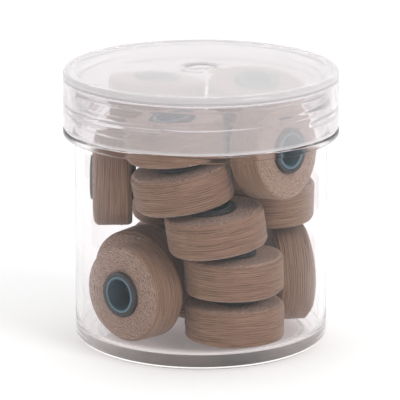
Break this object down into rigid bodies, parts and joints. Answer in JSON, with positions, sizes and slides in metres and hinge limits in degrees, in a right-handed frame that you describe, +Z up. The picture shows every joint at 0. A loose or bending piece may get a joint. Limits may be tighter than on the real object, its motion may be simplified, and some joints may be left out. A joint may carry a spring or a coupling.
{
  "type": "bobbin jar",
  "caption": "Clear round screw-lid jar that holds loose pre-wound sideless sewing bobbins with ring cores.",
  "frame": {"origin": "middle of the jar's foot, on the surface it stands on", "axes": "+Z up along the jar's axis, -Y the front that the fuller side of the pile faces, +X to the right seen from the front"},
  "size_m": [0.0568, 0.0568, 0.0575],
  "materials": {
    "clear_jar": "crystal clear moulded polystyrene, polished",
    "hazy_lid": "clear moulded plastic with a slight milky haze",
    "thread": "taupe filament thread, wound tight, soft satin",
    "core_ring": "charcoal bonded magnet ring, satin",
    "sleeve": "dark teal moulded plastic, satin"
  },
  "bodies": {
    "jar": {"jar_body": "clear_jar"},
    "lid": {"screw_lid": "hazy_lid"},
    "bobbin_01": {"bobbin_01_winding": "thread", "bobbin_01_core_ring": "core_ring", "bobbin_01_sleeve": "sleeve"},
    "bobbin_02": {"bobbin_02_winding": "thread", "bobbin_02_core_ring": "core_ring", "bobbin_02_sleeve": "sleeve"},
    "bobbin_03": {"bobbin_03_winding": "thread", "bobbin_03_core_ring": "core_ring", "bobbin_03_sleeve": "sleeve"},
    "bobbin_04": {"bobbin_04_winding": "thread", "bobbin_04_core_ring": "core_ring", "bobbin_04_sleeve": "sleeve"},
    "bobbin_05": {"bobbin_05_winding": "thread", "bobbin_05_core_ring": "core_ring", "bobbin_05_sleeve": "sleeve"},
    "bobbin_06": {"bobbin_06_winding": "thread", "bobbin_06_core_ring": "core_ring", "bobbin_06_sleeve": "sleeve"},
    "bobbin_07": {"bobbin_07_winding": "thread", "bobbin_07_core_ring": "core_ring", "bobbin_07_sleeve": "sleeve"},
    "bobbin_08": {"bobbin_08_winding": "thread", "bobbin_08_core_ring": "core_ring", "bobbin_08_sleeve": "sleeve"},
    "bobbin_09": {"bobbin_09_winding": "thread", "bobbin_09_core_ring": "core_ring", "bobbin_09_sleeve": "sleeve"},
    "bobbin_10": {"bobbin_10_winding": "thread", "bobbin_10_core_ring": "core_ring", "bobbin_10_sleeve": "sleeve"},
    "bobbin_11": {"bobbin_11_winding": "thread", "bobbin_11_core_ring": "core_ring", "bobbin_11_sleeve": "sleeve"},
    "bobbin_12": {"bobbin_12_winding": "thread", "bobbin_12_core_ring": "core_ring", "bobbin_12_sleeve": "sleeve"},
    "bobbin_13": {"bobbin_13_winding": "thread", "bobbin_13_core_ring": "core_ring", "bobbin_13_sleeve": "sleeve"},
    "bobbin_14": {"bobbin_14_winding": "thread", "bobbin_14_core_ring": "core_ring", "bobbin_14_sleeve": "sleeve"},
    "bobbin_15": {"bobbin_15_winding": "thread", "bobbin_15_core_ring": "core_ring", "bobbin_15_sleeve": "sleeve"},
    "bobbin_16": {"bobbin_16_winding": "thread", "bobbin_16_core_ring": "core_ring", "bobbin_16_sleeve": "sleeve"},
    "bobbin_17": {"bobbin_17_winding": "thread", "bobbin_17_core_ring": "core_ring", "bobbin_17_sleeve": "sleeve"}
  },
  "joints": [
    {"name": "lid_lift", "type": "slide", "parent": "jar", "child": "lid", "axis": [0, 0, 1], "range_m": [0, 0.04]},
    {"name": "bobbin_01_spin", "type": "hinge", "parent": "jar", "child": "bobbin_01", "pos_m": [0.0068, -0.0122, 0.0077], "axis": [0, 0, 1], "continuous": true},
    {"name": "bobbin_02_spin", "type": "hinge", "parent": "jar", "child": "bobbin_02", "pos_m": [0.0066, -0.0123, 0.0175], "axis": [-0.0175, 0, 0.9998], "continuous": true},
    {"name": "bobbin_03_spin", "type": "hinge", "parent": "jar", "child": "bobbin_03", "pos_m": [0.003, -0.0139, 0.0272], "axis": [-0.1344, -0.036, 0.9903], "continuous": true},
    {"name": "bobbin_04_spin", "type": "hinge", "parent": "jar", "child": "bobbin_04", "pos_m": [-0.0038, -0.0129, 0.036], "axis": [-0.171, -0.0302, 0.9848], "continuous": true},
    {"name": "bobbin_05_spin", "type": "hinge", "parent": "jar", "child": "bobbin_05", "pos_m": [-0.0052, -0.0126, 0.0458], "axis": [-0.12, -0.0212, 0.9925], "continuous": true},
    {"name": "bobbin_06_spin", "type": "hinge", "parent": "jar", "child": "bobbin_06", "pos_m": [-0.0132, -0.0121, 0.0135], "axis": [-0.7193, -0.6947, 0], "continuous": true},
    {"name": "bobbin_07_spin", "type": "hinge", "parent": "jar", "child": "bobbin_07", "pos_m": [-0.0122, 0.0003, 0.0135], "axis": [-0.5592, -0.829, 0], "continuous": true},
    {"name": "bobbin_08_spin", "type": "hinge", "parent": "jar", "child": "bobbin_08", "pos_m": [-0.0181, 0, 0.0346], "axis": [-0.9998, -0.0175, 0], "continuous": true},
    {"name": "bobbin_09_spin", "type": "hinge", "parent": "jar", "child": "bobbin_09", "pos_m": [0.0179, 0.0034, 0.0135], "axis": [0.9816, 0.1908, 0], "continuous": true},
    {"name": "bobbin_10_spin", "type": "hinge", "parent": "jar", "child": "bobbin_10", "pos_m": [0.0138, 0.0037, 0.0295], "axis": [0.0211, -0.0846, 0.9962], "continuous": true},
    {"name": "bobbin_11_spin", "type": "hinge", "parent": "jar", "child": "bobbin_11", "pos_m": [0.0144, -0.0111, 0.043], "axis": [0.7837, -0.6123, 0.1045], "continuous": true},
    {"name": "bobbin_12_spin", "type": "hinge", "parent": "jar", "child": "bobbin_12", "pos_m": [0.0114, 0.0082, 0.0475], "axis": [0.0661, -0.1418, 0.9877], "continuous": true},
    {"name": "bobbin_13_spin", "type": "hinge", "parent": "jar", "child": "bobbin_13", "pos_m": [0.0021, 0.0083, 0.0077], "axis": [0, 0, 1], "continuous": true},
    {"name": "bobbin_14_spin", "type": "hinge", "parent": "jar", "child": "bobbin_14", "pos_m": [-0.0045, 0.0134, 0.0172], "axis": [-0.101, -0.0271, 0.9945], "continuous": true},
    {"name": "bobbin_15_spin", "type": "hinge", "parent": "jar", "child": "bobbin_15", "pos_m": [-0.0047, 0.0132, 0.0275], "axis": [-0.0664, -0.1022, 0.9925], "continuous": true},
    {"name": "bobbin_16_spin", "type": "hinge", "parent": "jar", "child": "bobbin_16", "pos_m": [0.0009, 0.0125, 0.0381], "axis": [-0.0522, -0.0037, 0.9986], "continuous": true},
    {"name": "bobbin_17_spin", "type": "hinge", "parent": "jar", "child": "bobbin_17", "pos_m": [-0.0093, 0.0092, 0.0479], "axis": [0.06, 0.0856, 0.9945], "continuous": true}
  ]
}
